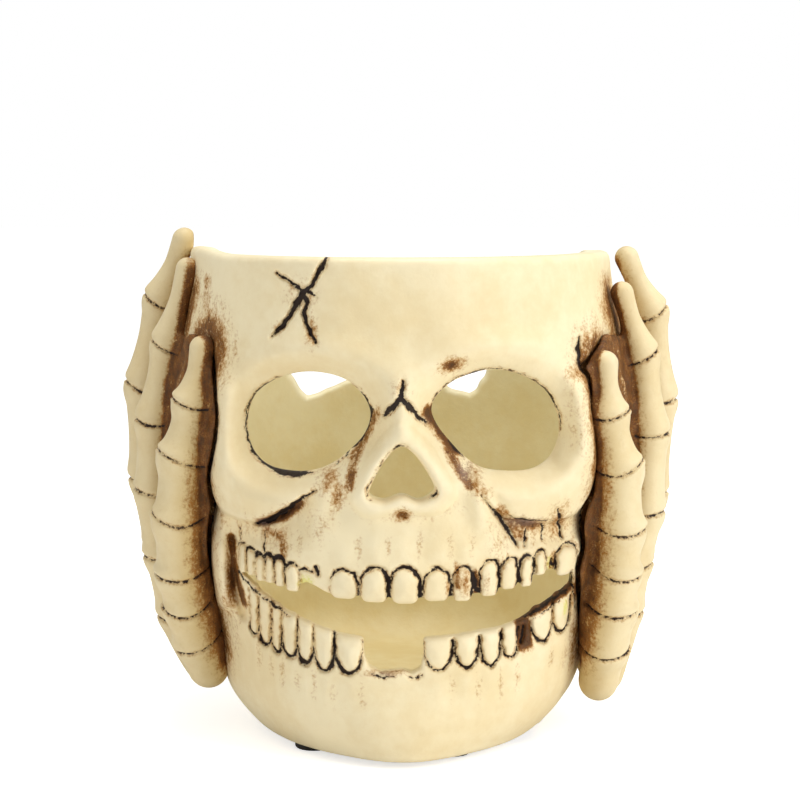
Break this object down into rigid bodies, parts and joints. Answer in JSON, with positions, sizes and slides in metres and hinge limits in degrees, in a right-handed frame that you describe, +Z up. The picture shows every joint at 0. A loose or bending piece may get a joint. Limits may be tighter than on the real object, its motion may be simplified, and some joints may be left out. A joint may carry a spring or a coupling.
{
  "type": "bubbling ornament",
  "caption": "Hollow aquarium skull ornament clasped by two skeletal hands, open at the top, eyes, nose and mouth, with an air stone on its floor that lifts out.",
  "frame": {"origin": "centre of the bounding box at ground level, under the feet", "axes": "+Z up, the face looks along -Y, +X to the viewer's right"},
  "size_m": [0.1489, 0.1248, 0.1321],
  "materials": {
    "bone_resin": "cream bone paint with a dark brown wash left in the creases, satin",
    "porous_stone": "coarse sintered grit, matt",
    "black_plastic": "moulded, satin",
    "clear_silicone": "milky, smooth",
    "black_rubber": "matt"
  },
  "bodies": {
    "ornament": {"skull_shell": "bone_resin", "left_hand": "bone_resin", "right_hand": "bone_resin", "silicone_sleeve": "clear_silicone", "lock_nut": "black_plastic", "sealing_washer": "black_rubber", "air_inlet_elbow": "black_plastic", "foot_pad_front_left": "black_rubber", "foot_pad_front_right": "black_rubber", "foot_pad_rear_left": "black_rubber", "foot_pad_rear_right": "black_rubber"},
    "stone": {"air_stone": "porous_stone", "stone_nipple": "black_plastic"}
  },
  "joints": [
    {"name": "stone_lift", "type": "slide", "parent": "ornament", "child": "stone", "axis": [0, 0, 1], "range_m": [0, 0.14]}
  ]
}
